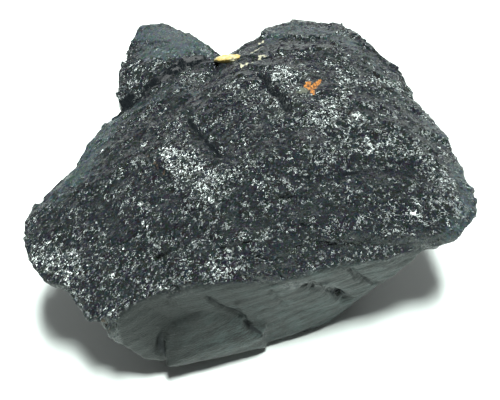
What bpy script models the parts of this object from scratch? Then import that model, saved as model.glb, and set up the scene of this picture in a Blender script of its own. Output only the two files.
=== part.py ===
# Black tourmaline (schorl): one broken, flat-footed stone with a scrap of yellow feldspar in its notch.
# The stone's long side runs along X and it rests at z = 0. Its smooth striated parting face looks towards -Y.
# Its bulk is a union of convex blocks around one heart, each named after the part of the stone it forms.

import itertools

import bmesh
import bpy
import numpy as np
from mathutils import Matrix

MM = 0.001

# Corner points, in millimetres. The stone is 83 long, 73 deep and 37 high.
HEART = (0.0, -4.0, 15.0)
CORE_HALF = (11.0, 10.0, 9.0)
FOOT_DEPTH = -3.0

CROWN_BACK = [(-17, -4, 33.5), (-6, 8, 35.5), (10, 13, 36), (24, 8, 34.5), (32, -6, 32.5)]
CROWN_FRONT = [(27, -16, 29.5), (8, -24, 30.5), (-12, -25, 30.2), (-24, -19, 30.5), (4, -8, 36.5)]
CROWN = CROWN_BACK + CROWN_FRONT
PARTING_EDGE = [
    (32.3, -22.1, 24.6), (27.3, -21.3, 24.5), (20.6, -23.6, 25.5), (16, -24.8, 26.3), (8.7, -27.8, 26.5),
    (6, -29.9, 25.8), (-3.8, -30.7, 27.3), (-14, -32.2, 27), (-19.7, -33.3, 24.5)]
FOOT_RIM = [(-14, -30), (2, -27), (11, -24), (17, -19.5), (22, -8), (19, 12), (6, 22), (-11, 20),
            (-19, 4), (-18, -18)]
FOOT = [(x, y, FOOT_DEPTH) for x, y in FOOT_RIM]

BLOCKS = {
    "slab": CROWN + PARTING_EDGE + FOOT + [
        (31.7, 12.2, 29.2), (36, -4, 28.5), (34, -14, 25), (-5.5, 20.5, 28.5), (-24, 8, 28)],
    "right_wing": CROWN + [
        (32.4, 9.4, 29.2), (35.3, 4.7, 29), (38.4, 0.5, 29), (40.2, -6.4, 28.8), (41.9, -14.5, 28.9),
        (41.9, -16.5, 28.9), (40.3, -18.9, 28), (38.6, -20.6, 26.3), (37.5, -20.9, 25), (34, -21.3, 24.8),
        (32.3, -21.9, 24.6), (31.7, 12.2, 29.2), (22, -12, 6), (24, -2, 7), (22, 8, 8)],
    "left_wing": CROWN + [
        (-41.8, -20.7, 28.5), (-40.8, -22.9, 28.3), (-39.9, -25.7, 27.8), (-38.7, -28.7, 27),
        (-36.7, -30.1, 25.6), (-35.8, -30.4, 25), (-41.2, -18.7, 28.4), (-40.9, -16.6, 28.3),
        (-40, -14.5, 28), (-39.2, -12.5, 28), (-37.3, -10.1, 28), (-34, -5, 28), (-32.1, -31.6, 25.2),
        (-19.7, -33.3, 24.5), (-22, -22, 6), (-20, 4, 8), (-14, -26, 4)],
    "left_shoulder": CROWN + [
        (-34, -5, 28), (-31.5, -1.4, 28), (-29.5, 2.1, 28), (-26.9, 8.9, 28), (-26.4, 9.8, 28), (-22, 0, 8),
        (-15, -15, 5), (-24, 8, 12)],
    "front_left": [
        (-34.1, -30.7, 24.8), (-32.3, -31.5, 25), (-28.6, -35.4, 21.5), (-25.1, -36.2, 17.8),
        (-22.2, -36, 11.6), (-19.9, -35.6, 7.9), (-16.6, -35, 6), (-23.8, -35.9, 21), (-21, -33.2, 24),
        (-19.7, -33.2, 24.8), (-36, -19, 28.6), (-24, -19, 30.5), (-12, -25, 30.2), (-17, -4, 33.5),
        (-20, -26, 2), (-12, -31, 2)],
    "left_peak": [
        (-26.2, 9.8, 28), (-25.8, 12.9, 28.5), (-25.7, 19.6, 29.5), (-25.8, 22.4, 30), (-23.4, 25.8, 30.5),
        (-23, 28.4, 30.6), (-22.6, 30.3, 30.8), (-18.9, 31.1, 31.2), (-16.8, 31.2, 31.2), (-14.8, 28.3, 31),
        (-8.5, 25.8, 30), (-5.9, 23.4, 29), (-15, 9, 32.3), (-25, 20, 15), (-22, 29, 17), (-14, 27, 12),
        (-12, 23, 4), (-20, 14, 5)],
    "right_peak": CROWN_BACK + [
        (-4.7, 24.3, 28.5), (-1.6, 26.8, 29), (1.5, 27.9, 29.5), (5.8, 29.9, 30), (7.7, 31.6, 30.3),
        (8.6, 32.6, 30.6), (13.8, 30.4, 31), (18.2, 30.4, 31.2), (21, 29.4, 31.3), (22.1, 24.3, 31.2),
        (27, 20.5, 30.7), (29.5, 18.8, 30.3), (31.1, 16.1, 30), (32.9, 12, 29.3), (3, 35.2, 17),
        (14, 36.4, 17), (24, 26, 16), (30, 10, 15), (-1, 28, 17), (5, 30, 3), (18, 26, 4)],
    "near_slab": [
        (-15.7, -33, 13.4), (-16.9, -33.3, 11.8), (-17.2, -33.6, 10.4), (-16.9, -34.5, 8.2),
        (-15.8, -36.5, 6.3), (2.4, -29.9, 2.6), (2.4, -30.7, 8.8), (-9.5, -32.7, 13.8), (-12.4, -32, 15.4),
        (-8.5, -31.3, 17.8), (-1, -30.2, 12.6), (-12, -32, 0.5), (1, -28, 0.2)],
    "front_right": [
        (2.7, -28.6, 1.9), (9.5, -26.4, 2.5), (12.8, -25.4, 4.1), (15.4, -24.7, 5.8), (17.1, -24.1, 7.6),
        (18.3, -23.4, 10), (15.4, -24.6, 20.5), (8.1, -27.4, 23.4), (1.9, -30, 23.4), (-2.8, -30.8, 19.6),
        (0.1, -30.2, 12.2), (3, -26.5, 0.2), (10, -24, 0.5)],
    "right_lump": [
        (18.3, -23.4, 10), (22.6, -22.4, 13), (26.2, -22.7, 15.2), (28.4, -22.8, 19.3), (30.1, -22.5, 23),
        (32.3, -21.9, 24.4), (20.7, -23.5, 25.3), (16.9, -24.8, 26), (20, -19, 5)],
}

# Joining and meshing of the blocks.
JOIN_VOXEL = 0.85
SMOOTH_ROUNDS = 2
WEAR_ROUNDS = 1
FACET_SHARE = 0.20

# Swells and splinter ridges: (wavelength, height, seed). The ridges run long, along the bent grain.
SWELLS = [(17.0, 0.3, 3), (8.0, 0.2, 8)]
RIDGES = [(6.5, 0.35, 21), (3.6, 0.25, 34)]
RIDGE_STRETCH = 2.0
GRAIN_LEAN = 0.2
GRAIN_BEND = -0.00725

# Broken facets: (size, slope, seed).
HACKLES = [(9.0, 0.12, 51), (5.0, 0.14, 55)]

# The parting face lies below its upper edge, given as (x, z). Its low ridges rise towards +X.
PARTING_CREST = [(-24.2, 18), (-23.2, 23.1), (-21, 24.2), (-14, 26.6), (-9, 27), (-3.8, 27), (6, 25.4),
                 (8.7, 26.4), (16, 26.3), (20.6, 25.5), (27.3, 24.5), (32.3, 24.6)]
PARTING_NORMAL_Y = -0.45
PARTING_FADE = 6.0
PARTING_CALM = 0.3
STRIAE_PITCH = 3.1
STRIAE_HEIGHT = 0.10
STRIAE_RISE = 0.27
STRIAE_WANDER = 9.0
STRIAE_SEED = 13

# Cracks and grooves: the points they run through, half-width and depth.
# The lens is a lump, so its depth is below 0.
GROOVES = {
    "peak_groove": ([(-26.2, 9.3, 28.1), (-17.4, 14.5, 31.8), (-9.3, 22.6, 30.2)], 1.6, 1.6),
    "slot": ([(2.1, 12.1, 35.3), (7.1, 2.4, 36.2)], 0.8, 1.5),
    "cleft": ([(-11.5, 1, 34.5), (-5.8, -7.4, 35)], 1.3, 1.1),
    "short_crack": ([(-19.7, -6, 32.8), (-15.2, -11.8, 33.2)], 0.9, 0.9),
    "long_crack": ([(-13.8, -15.1, 32.9), (-10.7, -19.9, 31.8), (-7.4, -24.5, 30.4)], 1.2, 1.0),
    "left_crack": ([(-20.4, -19.8, 31), (-17.1, -25.9, 29.3), (-13.8, -32, 26.7)], 1.3, 1.1),
    "left_band": ([(-27.7, -13.7, 31.1), (-23.7, -19.3, 30.9), (-19.9, -24.1, 29.8)], 1.6, 0.8),
    "middle_band": ([(-1.1, -20.1, 32), (6.9, -22.7, 31), (14.1, -24.1, 28.4)], 1.5, 0.8),
    "right_band": ([(18.8, -16.5, 31.7), (22.9, -17.6, 30.8), (26.9, -18.5, 29.9)], 1.3, 0.8),
    "valley": ([(8.8, -12.7, 34.3), (19, -10.5, 33.6), (27.4, -8.6, 32.7)], 1.9, 1.2),
    "parting_crack": ([(-7.8, -31.5, 22.7), (-4.8, -30.6, 17.9), (-1.4, -30, 14.3)], 0.8, 0.8),
    "slab_crack": ([(-0.8, -30.1, 12.4), (2, -30.5, 8.9)], 0.8, 0.7),
    "slab_end": ([(-15.8, -33.3, 13.4), (-16.6, -33.8, 12.1), (-15.9, -35.2, 7.2)], 0.8, 0.8),
    "recess": ([(9.9, -28.2, 21.6), (14, -26.4, 17.7), (18.3, -24.1, 10.8)], 1.3, 1.2),
    "lump_seam": ([(18.2, -26.1, 24), (20.1, -25, 19.8), (23.7, -23.6, 15.1)], 0.9, 0.7),
    "lens": ([(24.5, -24.2, 24), (25.2, -23.9, 20.5)], 2.2, -0.5),
    "rim_hollow": ([(22.4, 25.4, 31.2), (23.8, 23.4, 31.2), (25.2, 21.9, 31)], 2.0, 0.8),
    "shoulder_hollow": ([(-32.3, -2.2, 28), (-30.5, 1.5, 28), (-28.7, 5.3, 28)], 3, 0.15),
}

# The feldspar scrap: a flat lens lying along the bottom of the notch, seated in a pocket of it.
SCRAP_CENTRE = (-4.3, 20.9, 30.6)
SCRAP_HALF = (3.0, 1.4, 2.0)
SCRAP_SLOPE = (-0.14, 0.40, 0.91)
SCRAP_FLATNESS = 0.6
SCRAP_GAP = 0.3
SCRAP_ROUNDS = 2
SCRAP_WAVELENGTH = 2.0
SCRAP_HEIGHT = 0.3
SCRAP_SEED = 5

BLACK = (0.012, 0.015, 0.017, 1.0)
YELLOW = (0.78, 0.62, 0.30, 1.0)


def hashed(cells, seed):
    """One repeatable number from 0 to 1 for each whole-number cell."""
    cells = cells.astype(np.int64)
    mixed = cells[:, 0] * 73856093 ^ cells[:, 1] * 19349663 ^ cells[:, 2] * 83492791 ^ seed * 2654435761
    mixed = (mixed ^ mixed >> 15) * 2246822519 & 0xFFFFFFFF
    mixed = (mixed ^ mixed >> 13) * 3266489917 & 0xFFFFFFFF
    return (mixed ^ mixed >> 16) / 0xFFFFFFFF


def swell(points, wavelength, seed):
    """Smooth lumps from -1 to 1: each point blends the numbers at the eight corners of its cell."""
    scaled = points / wavelength
    cell = np.floor(scaled)
    part = scaled - cell
    part = part * part * (3 - 2 * part)
    total = np.zeros(len(points))
    for corner in itertools.product((0, 1), repeat=3):
        weight = np.where(corner, part, 1 - part).prod(axis=1)
        total += weight * hashed(cell + corner, seed)
    return 2 * total - 1


def hackle(points, size, slope, seed):
    """Broken facets: each cell around a scattered centre leans its own way."""
    scaled = points / size
    cell = np.floor(scaled)
    nearest = np.full(len(points), np.inf)
    height = np.zeros(len(points))
    for step in itertools.product((-1, 0, 1), repeat=3):
        neighbour = cell + step
        centre = neighbour + np.stack([hashed(neighbour, seed + k) for k in range(3)], axis=1)
        lean = np.stack([hashed(neighbour, seed + k) for k in range(3, 6)], axis=1) - 0.5
        away = scaled - centre
        distance = (away ** 2).sum(axis=1)
        closer = distance < nearest
        nearest = np.where(closer, distance, nearest)
        height = np.where(closer, 2 * slope * size * (away * lean).sum(axis=1), height)
    return height


def along_grain(points):
    """Coordinates that follow the bent grain, squeezed along it so that a ridge comes out long."""
    x, y, z = points.T
    across = y - GRAIN_LEAN * x - GRAIN_BEND * x ** 2
    return np.stack([x / RIDGE_STRETCH, across, z], axis=1)


def distance_to_line(points, line):
    """Distance of each point from a line of straight pieces."""
    found = np.full(len(points), np.inf)
    for start, end in itertools.pairwise(np.array(line, dtype=float)):
        run = end - start
        share = np.clip((points - start) @ run / (run @ run), 0, 1)
        found = np.minimum(found, np.linalg.norm(points - start - share[:, None] * run, axis=1))
    return found


def parting_share(points, normals):
    """1 on the parting face and 0 on the broken stone: it faces -Y and lies below its crest."""
    crest_x, crest_z = np.array(PARTING_CREST).T
    below = np.interp(points[:, 0], crest_x, crest_z) - points[:, 2]
    beside = np.minimum(points[:, 0] - crest_x[0], crest_x[-1] - points[:, 0])
    facing = (PARTING_NORMAL_Y - normals[:, 1]) * PARTING_FADE
    return np.clip(np.minimum(np.minimum(below, beside), facing), 0, 1)


def relief(points, normals):
    """Height of the broken surface above the blocks, in millimetres."""
    parting = parting_share(points, normals)
    rough = sum(height * swell(points, wavelength, seed) for wavelength, height, seed in SWELLS)
    grain = along_grain(points)
    rough += sum(height * swell(grain, wavelength, seed) for wavelength, height, seed in RIDGES)
    rough += sum(hackle(grain, size, slope, seed) for size, slope, seed in HACKLES)
    lines = (points[:, 2] - STRIAE_RISE * points[:, 0]) / STRIAE_PITCH
    wander = 2 * swell(points, STRIAE_WANDER, STRIAE_SEED)
    striae = STRIAE_HEIGHT * np.sin(2 * np.pi * lines + wander)
    height = rough * (1 - (1 - PARTING_CALM) * parting) + striae * parting
    for line, half_width, depth in GROOVES.values():
        height -= depth * np.exp(-(distance_to_line(points, line) / half_width) ** 2)
    return height


def add_object(name, mesh):
    made = bpy.data.objects.new(name, mesh)
    bpy.context.scene.collection.objects.link(made)
    return made


def evaluated_mesh(source, name):
    """The mesh that an object's modifiers make, as a mesh of its own. The object is removed."""
    bpy.context.view_layer.update()
    graph = bpy.context.evaluated_depsgraph_get()
    mesh = bpy.data.meshes.new_from_object(source.evaluated_get(graph))
    mesh.name = name
    bpy.data.objects.remove(source)
    return mesh


def add_hull(shell, corners):
    """A closed convex block around the given corners."""
    added = [shell.verts.new(np.array(corner) * MM) for corner in corners]
    made = bmesh.ops.convex_hull(shell, input=added, use_existing_faces=False)
    inside = {v for v in made["geom_interior"] if isinstance(v, bmesh.types.BMVert)}
    bmesh.ops.delete(shell, geom=list(inside), context="VERTS")


def joined_blocks():
    """All blocks as one skin, each with the core's corners added so that it holds the heart."""
    sides = itertools.product((-1, 1), repeat=3)
    core = [tuple(np.array(HEART) + np.array(side) * CORE_HALF) for side in sides]
    shell = bmesh.new()
    for corners in BLOCKS.values():
        add_hull(shell, corners + core)
    mesh = bpy.data.meshes.new("blocks")
    shell.to_mesh(mesh)
    shell.free()
    blocks = add_object("blocks", mesh)
    remesh = blocks.modifiers.new("join", "REMESH")
    remesh.mode = "VOXEL"
    remesh.voxel_size = JOIN_VOXEL * MM
    smooth = blocks.modifiers.new("smooth", "SMOOTH")
    smooth.iterations = SMOOTH_ROUNDS
    return evaluated_mesh(blocks, "joined")


def raise_relief(mesh):
    points = np.empty(len(mesh.vertices) * 3)
    normals = np.empty(len(mesh.vertices) * 3)
    mesh.vertices.foreach_get("co", points)
    mesh.vertices.foreach_get("normal", normals)
    points = points.reshape(-1, 3) / MM
    normals = normals.reshape(-1, 3)
    points += normals * relief(points, normals)[:, None]
    mesh.vertices.foreach_set("co", (points * MM).ravel())
    mesh.update()


def thinned(mesh):
    """Steps worn down a little, then fewer, larger facets, kept small where the surface turns."""
    stone = add_object("thinning", mesh)
    wear = stone.modifiers.new("wear", "SMOOTH")
    wear.iterations = WEAR_ROUNDS
    decimate = stone.modifiers.new("facets", "DECIMATE")
    decimate.ratio = FACET_SHARE
    return evaluated_mesh(stone, "thinned")


def cut_foot(mesh):
    """Cuts the stone off level at z = 0 and closes the cut with one flat face."""
    shell = bmesh.new()
    shell.from_mesh(mesh)
    everything = shell.verts[:] + shell.edges[:] + shell.faces[:]
    cut = bmesh.ops.bisect_plane(
        shell, geom=everything, plane_co=(0, 0, 0), plane_no=(0, 0, -1), clear_outer=True)
    rim = [edge for edge in cut["geom_cut"] if isinstance(edge, bmesh.types.BMEdge)]
    bmesh.ops.edgeloop_fill(shell, edges=rim)
    bmesh.ops.triangulate(shell, faces=shell.faces[:])
    bmesh.ops.recalc_face_normals(shell, faces=shell.faces[:])
    shell.to_mesh(mesh)
    shell.free()


def centre(mesh):
    """Moves the stone so that its box is centred over the origin. Returns the move."""
    points = np.empty(len(mesh.vertices) * 3)
    mesh.vertices.foreach_get("co", points)
    points = points.reshape(-1, 3)
    move = -(points.min(axis=0) + points.max(axis=0)) / 2
    move[2] = 0
    mesh.transform(Matrix.Translation(move))
    return move / MM


def scrap_mesh(name, margin, place):
    """The feldspar lump at its place, grown outwards by a margin."""
    shell = bmesh.new()
    bmesh.ops.create_icosphere(shell, subdivisions=SCRAP_ROUNDS, radius=1)
    slope = np.array(SCRAP_SLOPE) / np.linalg.norm(SCRAP_SLOPE)
    ball = np.array([v.co[:] for v in shell.verts]) * SCRAP_HALF
    shape = ball - SCRAP_FLATNESS * np.outer(ball @ slope, slope)
    outward = ball / np.array(SCRAP_HALF) ** 2
    outward += SCRAP_FLATNESS / (1 - SCRAP_FLATNESS) * np.outer(outward @ slope, slope)
    outward /= np.linalg.norm(outward, axis=1)[:, None]
    lumps = SCRAP_HEIGHT * swell(shape, SCRAP_WAVELENGTH, SCRAP_SEED)
    placed = shape + place + outward * (lumps + margin)[:, None]
    for vert, point in zip(shell.verts, placed, strict=True):
        vert.co = point * MM
    mesh = bpy.data.meshes.new(name)
    shell.to_mesh(mesh)
    shell.free()
    return mesh


def material(name, colour, roughness):
    made = bpy.data.materials.new(name)
    made.use_nodes = True
    shader = made.node_tree.nodes["Principled BSDF"]
    shader.inputs["Base Color"].default_value = colour
    shader.inputs["Roughness"].default_value = roughness
    shader.inputs["Metallic"].default_value = 0.0
    return made


def build_tourmaline():
    mesh = joined_blocks()
    raise_relief(mesh)
    mesh = thinned(mesh)
    cut_foot(mesh)
    scrap_place = SCRAP_CENTRE + centre(mesh)
    mesh.materials.clear()
    mesh.materials.append(material("schorl", BLACK, 0.3))
    stone = add_object("tourmaline", mesh)
    pocket = add_object("pocket_cutter", scrap_mesh("pocket_cutter", SCRAP_GAP, scrap_place))
    pocket.hide_render = True
    pocket.display_type = "WIRE"
    seat = stone.modifiers.new("pocket", "BOOLEAN")
    seat.operation = "DIFFERENCE"
    seat.solver = "EXACT"
    seat.object = pocket
    return scrap_place


def build_feldspar(place):
    mesh = scrap_mesh("feldspar_scrap", 0.0, place)
    mesh.shade_smooth()
    mesh.materials.append(material("feldspar", YELLOW, 0.7))
    add_object("feldspar_scrap", mesh)


for old in list(bpy.data.objects):
    bpy.data.objects.remove(old)

build_feldspar(build_tourmaline())
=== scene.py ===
import itertools
import math

import bmesh
import bpy
import numpy as np
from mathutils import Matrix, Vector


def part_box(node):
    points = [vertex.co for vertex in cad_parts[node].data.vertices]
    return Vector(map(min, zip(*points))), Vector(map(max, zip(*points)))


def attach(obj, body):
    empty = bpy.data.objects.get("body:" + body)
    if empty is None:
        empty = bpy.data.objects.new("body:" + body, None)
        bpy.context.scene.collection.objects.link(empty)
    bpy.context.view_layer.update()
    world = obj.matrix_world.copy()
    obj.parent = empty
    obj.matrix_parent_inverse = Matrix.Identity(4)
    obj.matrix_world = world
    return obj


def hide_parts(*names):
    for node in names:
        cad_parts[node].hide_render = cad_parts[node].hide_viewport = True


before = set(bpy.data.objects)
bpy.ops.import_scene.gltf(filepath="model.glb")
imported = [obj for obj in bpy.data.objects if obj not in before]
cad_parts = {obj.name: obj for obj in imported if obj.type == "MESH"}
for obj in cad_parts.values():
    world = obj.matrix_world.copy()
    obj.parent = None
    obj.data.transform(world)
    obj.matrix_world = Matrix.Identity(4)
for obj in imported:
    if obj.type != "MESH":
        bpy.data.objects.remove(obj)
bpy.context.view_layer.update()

mm = 0.001

# The stone's bulk: a union of convex blocks around one heart, each given by its corners in millimetres.
crownBack = [(-17, -4, 33.5), (-6, 8, 35.5), (10, 13, 36), (24, 8, 34.5), (32, -6, 32.5)]
crownFront = [(27, -16, 29.5), (8, -24, 30.5), (-12, -25, 30.2), (-24, -19, 30.5), (4, -8, 36.5)]
crown = crownBack + crownFront
partingEdge = [
    (32.3, -22.1, 24.6), (27.3, -21.3, 24.5), (20.6, -23.6, 25.5), (16, -24.8, 26.3), (8.7, -27.8, 26.5),
    (6, -29.9, 25.8), (-3.8, -30.7, 27.3), (-14, -32.2, 27), (-19.7, -33.3, 24.5)]
footRim = [
    (-14, -30), (2, -27), (11, -24), (17, -19.5), (22, -8), (19, 12), (6, 22), (-11, 20), (-19, 4),
    (-18, -18)]
footDepth = -3.0                # height of the corners below the foot, whose plane cuts them off
stoneForm = {
    "heart": (0.0, -4.0, 15.0),
    "coreHalf": (11.0, 10.0, 9.0),   # half sides of a box round the heart that every block holds
    "edgeSharpness": 220.0,     # higher keeps the blocks' edges crisper
    "boxHalf": (43.0, 35.0),    # the box whose sides carry the grid
    "boxUp": 21.5,              # its top and its underside, from the heart
    "boxDown": -45.0,
    "cells": (196, 160, 89),    # along X, along Y and down the sides
    "sideLean": 1.55,           # more than 1 packs the side rows towards the top
    "footRings": 5,             # steps from the lowest row to the middle of the foot
    "blocks": {
        "slab": crown + partingEdge + [(x, y, footDepth) for x, y in footRim] + [
            (31.7, 12.2, 29.2), (36, -4, 28.5), (34, -14, 25), (-5.5, 20.5, 28.5), (-24, 8, 28)],
        "rightWing": crown + [
            (32.4, 9.4, 29.2), (35.3, 4.7, 29), (38.4, 0.5, 29), (40.2, -6.4, 28.8), (41.9, -14.5, 28.9),
            (41.9, -16.5, 28.9), (40.3, -18.9, 28), (38.6, -20.6, 26.3), (37.5, -20.9, 25),
            (34, -21.3, 24.8), (32.3, -21.9, 24.6), (31.7, 12.2, 29.2), (22, -12, 6), (24, -2, 7),
            (22, 8, 8)],
        "leftWing": crown + [
            (-41.8, -20.7, 28.5), (-40.8, -22.9, 28.3), (-39.9, -25.7, 27.8), (-38.7, -28.7, 27),
            (-36.7, -30.1, 25.6), (-35.8, -30.4, 25), (-41.2, -18.7, 28.4), (-40.9, -16.6, 28.3),
            (-40, -14.5, 28), (-39.2, -12.5, 28), (-37.3, -10.1, 28), (-34, -5, 28), (-32.1, -31.6, 25.2),
            (-19.7, -33.3, 24.5), (-22, -22, 6), (-20, 4, 8), (-14, -26, 4)],
        "leftShoulder": crown + [
            (-34, -5, 28), (-31.5, -1.4, 28), (-29.5, 2.1, 28), (-26.9, 8.9, 28), (-26.4, 9.8, 28),
            (-22, 0, 8), (-15, -15, 5), (-24, 8, 12)],
        "frontLeft": [
            (-34.1, -30.7, 24.8), (-32.3, -31.5, 25), (-28.6, -35.4, 21.5), (-25.1, -36.2, 17.8),
            (-22.2, -36, 11.6), (-19.9, -35.6, 7.9), (-16.6, -35, 6), (-23.8, -35.9, 21), (-21, -33.2, 24),
            (-19.7, -33.2, 24.8), (-36, -19, 28.6), (-24, -19, 30.5), (-12, -25, 30.2), (-17, -4, 33.5),
            (-20, -26, 2), (-12, -31, 2)],
        "leftPeak": [
            (-26.2, 9.8, 28), (-25.8, 12.9, 28.5), (-25.7, 19.6, 29.5), (-25.8, 22.4, 30),
            (-23.4, 25.8, 30.5), (-23, 28.4, 30.6), (-22.6, 30.3, 30.8), (-18.9, 31.1, 31.2),
            (-16.8, 31.2, 31.2), (-14.8, 28.3, 31), (-8.5, 25.8, 30), (-5.9, 23.4, 29), (-15, 9, 32.3),
            (-25, 20, 15), (-22, 29, 17), (-14, 27, 12), (-12, 23, 4), (-20, 14, 5)],
        "rightPeak": crownBack + [
            (-4.7, 24.3, 28.5), (-1.6, 26.8, 29), (1.5, 27.9, 29.5), (5.8, 29.9, 30), (7.7, 31.6, 30.3),
            (8.6, 32.6, 30.6), (13.8, 30.4, 31), (18.2, 30.4, 31.2), (21, 29.4, 31.3), (22.1, 24.3, 31.2),
            (27, 20.5, 30.7), (29.5, 18.8, 30.3), (31.1, 16.1, 30), (32.9, 12, 29.3), (3, 35.2, 17),
            (14, 36.4, 17), (24, 26, 16), (30, 10, 15), (-1, 28, 17), (5, 30, 3), (18, 26, 4)],
        "nearSlab": [
            (-15.7, -33, 13.4), (-16.9, -33.3, 11.8), (-17.2, -33.6, 10.4), (-16.9, -34.5, 8.2),
            (-15.8, -36.5, 6.3), (2.4, -29.9, 2.6), (2.4, -30.7, 8.8), (-9.5, -32.7, 13.8),
            (-12.4, -32, 15.4), (-8.5, -31.3, 17.8), (-1, -30.2, 12.6), (-12, -32, 0.5), (1, -28, 0.2)],
        "frontRight": [
            (2.7, -28.6, 1.9), (9.5, -26.4, 2.5), (12.8, -25.4, 4.1), (15.4, -24.7, 5.8),
            (17.1, -24.1, 7.6), (18.3, -23.4, 10), (15.4, -24.6, 20.5), (8.1, -27.4, 23.4),
            (1.9, -30, 23.4), (-2.8, -30.8, 19.6), (0.1, -30.2, 12.2), (3, -26.5, 0.2), (10, -24, 0.5)],
        "rightLump": [
            (18.3, -23.4, 10), (22.6, -22.4, 13), (26.2, -22.7, 15.2), (28.4, -22.8, 19.3),
            (30.1, -22.5, 23), (32.3, -21.9, 24.4), (20.7, -23.5, 25.3), (16.9, -24.8, 26), (20, -19, 5)],
    },
}

# Relief over the blocks, in millimetres. Swells and ridges: (wavelength, height, seed).
# Hackle: (size, slope, seed).
stoneRelief = {
    "swells": [(17.0, 0.3, 3), (8.0, 0.2, 8)],
    "ridges": [(6.5, 0.35, 21), (3.6, 0.25, 34), (1.9, 0.10, 45)],
    "ridgeStretch": 2.0,            # how much longer than wide the ridges are
    "grainLean": 0.2,               # the bent grain runs along y = lean * x + bend * x squared
    "grainBend": -0.00725,
    "hackle": [(9.0, 0.12, 51), (5.0, 0.18, 55), (2.6, 0.20, 61), (1.3, 0.20, 67)],
    "partingNormalY": -0.45,        # on the parting face the normal's Y lies below this
    "partingFade": 6.0,             # how sharply the face ends where the normal turns
    "partingCrest": [               # x, z of its upper edge
        (-24.2, 18), (-23.2, 23.1), (-21, 24.2), (-14, 26.6), (-9, 27), (-3.8, 27), (6, 25.4),
        (8.7, 26.4), (16, 26.3), (20.6, 25.5), (27.3, 24.5), (32.3, 24.6)],
    "partingRaise": 0.1,            # how far over that edge the face still reaches
    "partingCalm": 0.25,            # share of the broken stone's relief that is left on it
    "striae": [(3.1, 0.07, 13), (1.5, 0.04, 17)],   # (pitch, height, seed)
    "striaeRise": 0.27,             # how far they climb for each step along X
    "striaeSway": (2, 3),           # how far their phase sways, in radians, and over how many pitches
    "footFade": 1.2,                # all relief fades out below this height
    "grooves": {                    # points it runs through, half-width, depth (below 0 a lump)
        "peakGroove": (
            [(-26.2, 9.3, 28.1), (-23.1, 11.2, 29.5), (-17.4, 14.5, 31.8), (-9.3, 22.6, 30.2)], 2.0, 1.4),
        "slot": ([(2.1, 12.1, 35.3), (4.5, 7.3, 36), (7.1, 2.4, 36.2)], 0.6, 1.7),
        "cleft": ([(-11.5, 1, 34.5), (-8.6, -3.5, 34.7), (-5.8, -7.4, 35)], 1.1, 1.1),
        "shortCrack": ([(-19.7, -6, 32.8), (-17.4, -9.1, 33.1), (-15.2, -11.8, 33.2)], 0.6, 0.9),
        "longCrack": ([(-13.8, -15.1, 32.9), (-10.7, -19.9, 31.8), (-7.4, -24.5, 30.4)], 1.0, 1.0),
        "leftCrack": ([(-20.4, -19.8, 31), (-17.1, -25.9, 29.3), (-13.8, -32, 26.7)], 1.1, 1.1),
        "leftBand": ([(-27.7, -13.7, 31.1), (-23.7, -19.3, 30.9), (-19.9, -24.1, 29.8)], 1.6, 0.8),
        "middleBand": ([(-1.1, -20.1, 32), (6.9, -22.7, 31), (14.1, -24.1, 28.4)], 1.5, 0.8),
        "rightBand": ([(18.8, -16.5, 31.7), (22.9, -17.6, 30.8), (26.9, -18.5, 29.9)], 1.2, 0.8),
        "valley": ([(8.8, -12.7, 34.3), (19, -10.5, 33.6), (27.4, -8.6, 32.7)], 1.9, 1.2),
        "partingCrack": (
            [(-7.8, -31.5, 22.7), (-6.4, -31.1, 20.1), (-4.8, -30.6, 17.9), (-1.4, -30, 14.3)], 0.5, 0.8),
        "slabCrack": ([(-0.8, -30.1, 12.4), (0.5, -30.5, 10.6), (2, -30.5, 8.9)], 0.5, 0.8),
        "slabEnd": (
            [(-15.8, -33.3, 13.4), (-16.6, -33.8, 12.1), (-16.6, -34.4, 9.8), (-15.9, -35.2, 7.2)],
            0.55, 0.9),
        "upperCrack": ([(-14.9, -32.5, 23.3), (-13.2, -32.1, 20.6), (-11.7, -31.7, 17.7)], 0.45, 0.35),
        "rightCrack": ([(3.7, -29.8, 22.4), (5.2, -29, 18.6), (6.8, -28.2, 15.3)], 0.45, 0.4),
        "recess": (
            [(9.9, -28.2, 21.6), (14, -26.4, 17.7), (16.3, -25.3, 14.3), (18.3, -24.1, 10.8)], 1.1, 1.3),
        "lumpSeam": ([(18.2, -26.1, 24), (20.1, -25, 19.8), (23.7, -23.6, 15.1)], 0.6, 0.7),
        "lens": ([(24.5, -24.2, 24), (25.2, -23.9, 20.5)], 2.2, -0.5),
        "rimHollow": ([(22.4, 25.4, 31.2), (23.8, 23.4, 31.2), (25.2, 21.9, 31)], 2.0, 0.8),
        "shoulderHollow": ([(-32.3, -2.2, 28), (-30.5, 1.5, 28), (-28.7, 5.3, 28)], 3, 0.15),
    },
}


def hashed(cells, seed):
    # one repeatable number from 0 to 1 for each whole-number cell; the large factors scatter the bits
    cells = cells.astype(np.int64)
    mixed = cells[:, 0] * 73856093 ^ cells[:, 1] * 19349663 ^ cells[:, 2] * 83492791 ^ seed * 2654435761
    mixed = (mixed ^ mixed >> 15) * 2246822519 & 0xFFFFFFFF
    mixed = (mixed ^ mixed >> 13) * 3266489917 & 0xFFFFFFFF
    return (mixed ^ mixed >> 16) / 0xFFFFFFFF


def swell(points, wavelength, seed):
    # smooth lumps from -1 to 1: the numbers at the eight corners of a point's cell, blended by a
    # smooth step
    scaled = points / wavelength
    cell = np.floor(scaled)
    part = scaled - cell
    part = part * part * (3 - 2 * part)
    total = np.zeros(len(points))
    for corner in itertools.product((0, 1), repeat=3):
        total += np.where(corner, part, 1 - part).prod(axis=1) * hashed(cell + corner, seed)
    return 2 * total - 1


def swellSum(points, swells):
    # swells of several wavelengths added up, each as (wavelength, height, seed)
    return sum(height * swell(points, wavelength, seed) for wavelength, height, seed in swells)


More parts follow.
